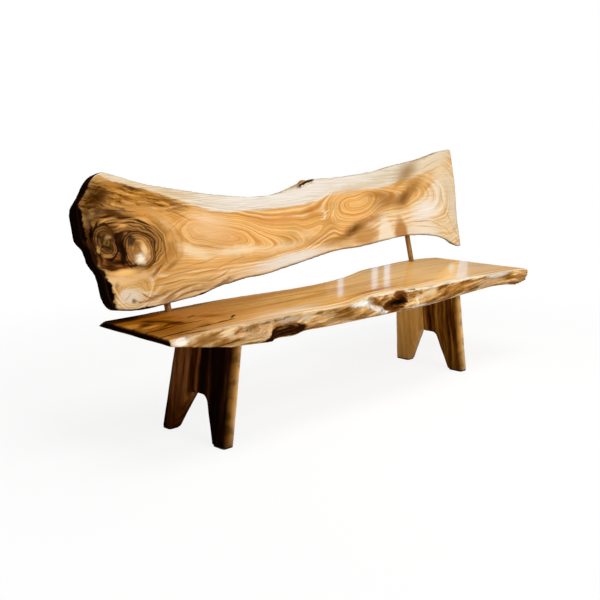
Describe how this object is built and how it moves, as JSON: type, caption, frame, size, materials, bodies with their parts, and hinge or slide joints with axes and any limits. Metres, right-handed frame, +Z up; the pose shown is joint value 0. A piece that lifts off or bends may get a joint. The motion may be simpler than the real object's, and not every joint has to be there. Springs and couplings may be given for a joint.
{
  "type": "live-edge slab bench",
  "caption": "Rustic live-edge bench: thick slab seat on splayed arched plank trestles, with a leaning slab backrest carried on round posts.",
  "frame": {"origin": "on the floor, under the middle of the bench's bounding box", "axes": "+X runs along the bench from the end with the large knots to the end with the tall post, +Y points from the sitter's knees to the backrest, +Z is up"},
  "size_m": [2.4955, 0.7688, 0.9801],
  "materials": {
    "seat_wood": "clear satin varnish",
    "backrest_wood": "clear satin varnish",
    "trestle_wood": "clear satin varnish",
    "post_wood": "clear satin varnish",
    "joinery_wood": "bare",
    "glide": "matte"
  },
  "bodies": {
    "root": {"seat_slab": "seat_wood", "backrest_slab": "backrest_wood", "leg_left_front": "trestle_wood", "leg_left_rear": "trestle_wood", "leg_right_front": "trestle_wood", "leg_right_rear": "trestle_wood", "post_left": "post_wood", "post_right": "post_wood", "post_wedge_left": "joinery_wood", "post_wedge_right": "joinery_wood", "backrest_peg_left": "joinery_wood", "backrest_peg_right": "joinery_wood", "leg_dowels_left": "joinery_wood", "leg_dowels_right": "joinery_wood", "seam_dowels_left": "joinery_wood", "seam_dowels_right": "joinery_wood", "glide_left_front": "glide", "glide_left_rear": "glide", "glide_right_front": "glide", "glide_right_rear": "glide"}
  },
  "joints": []
}
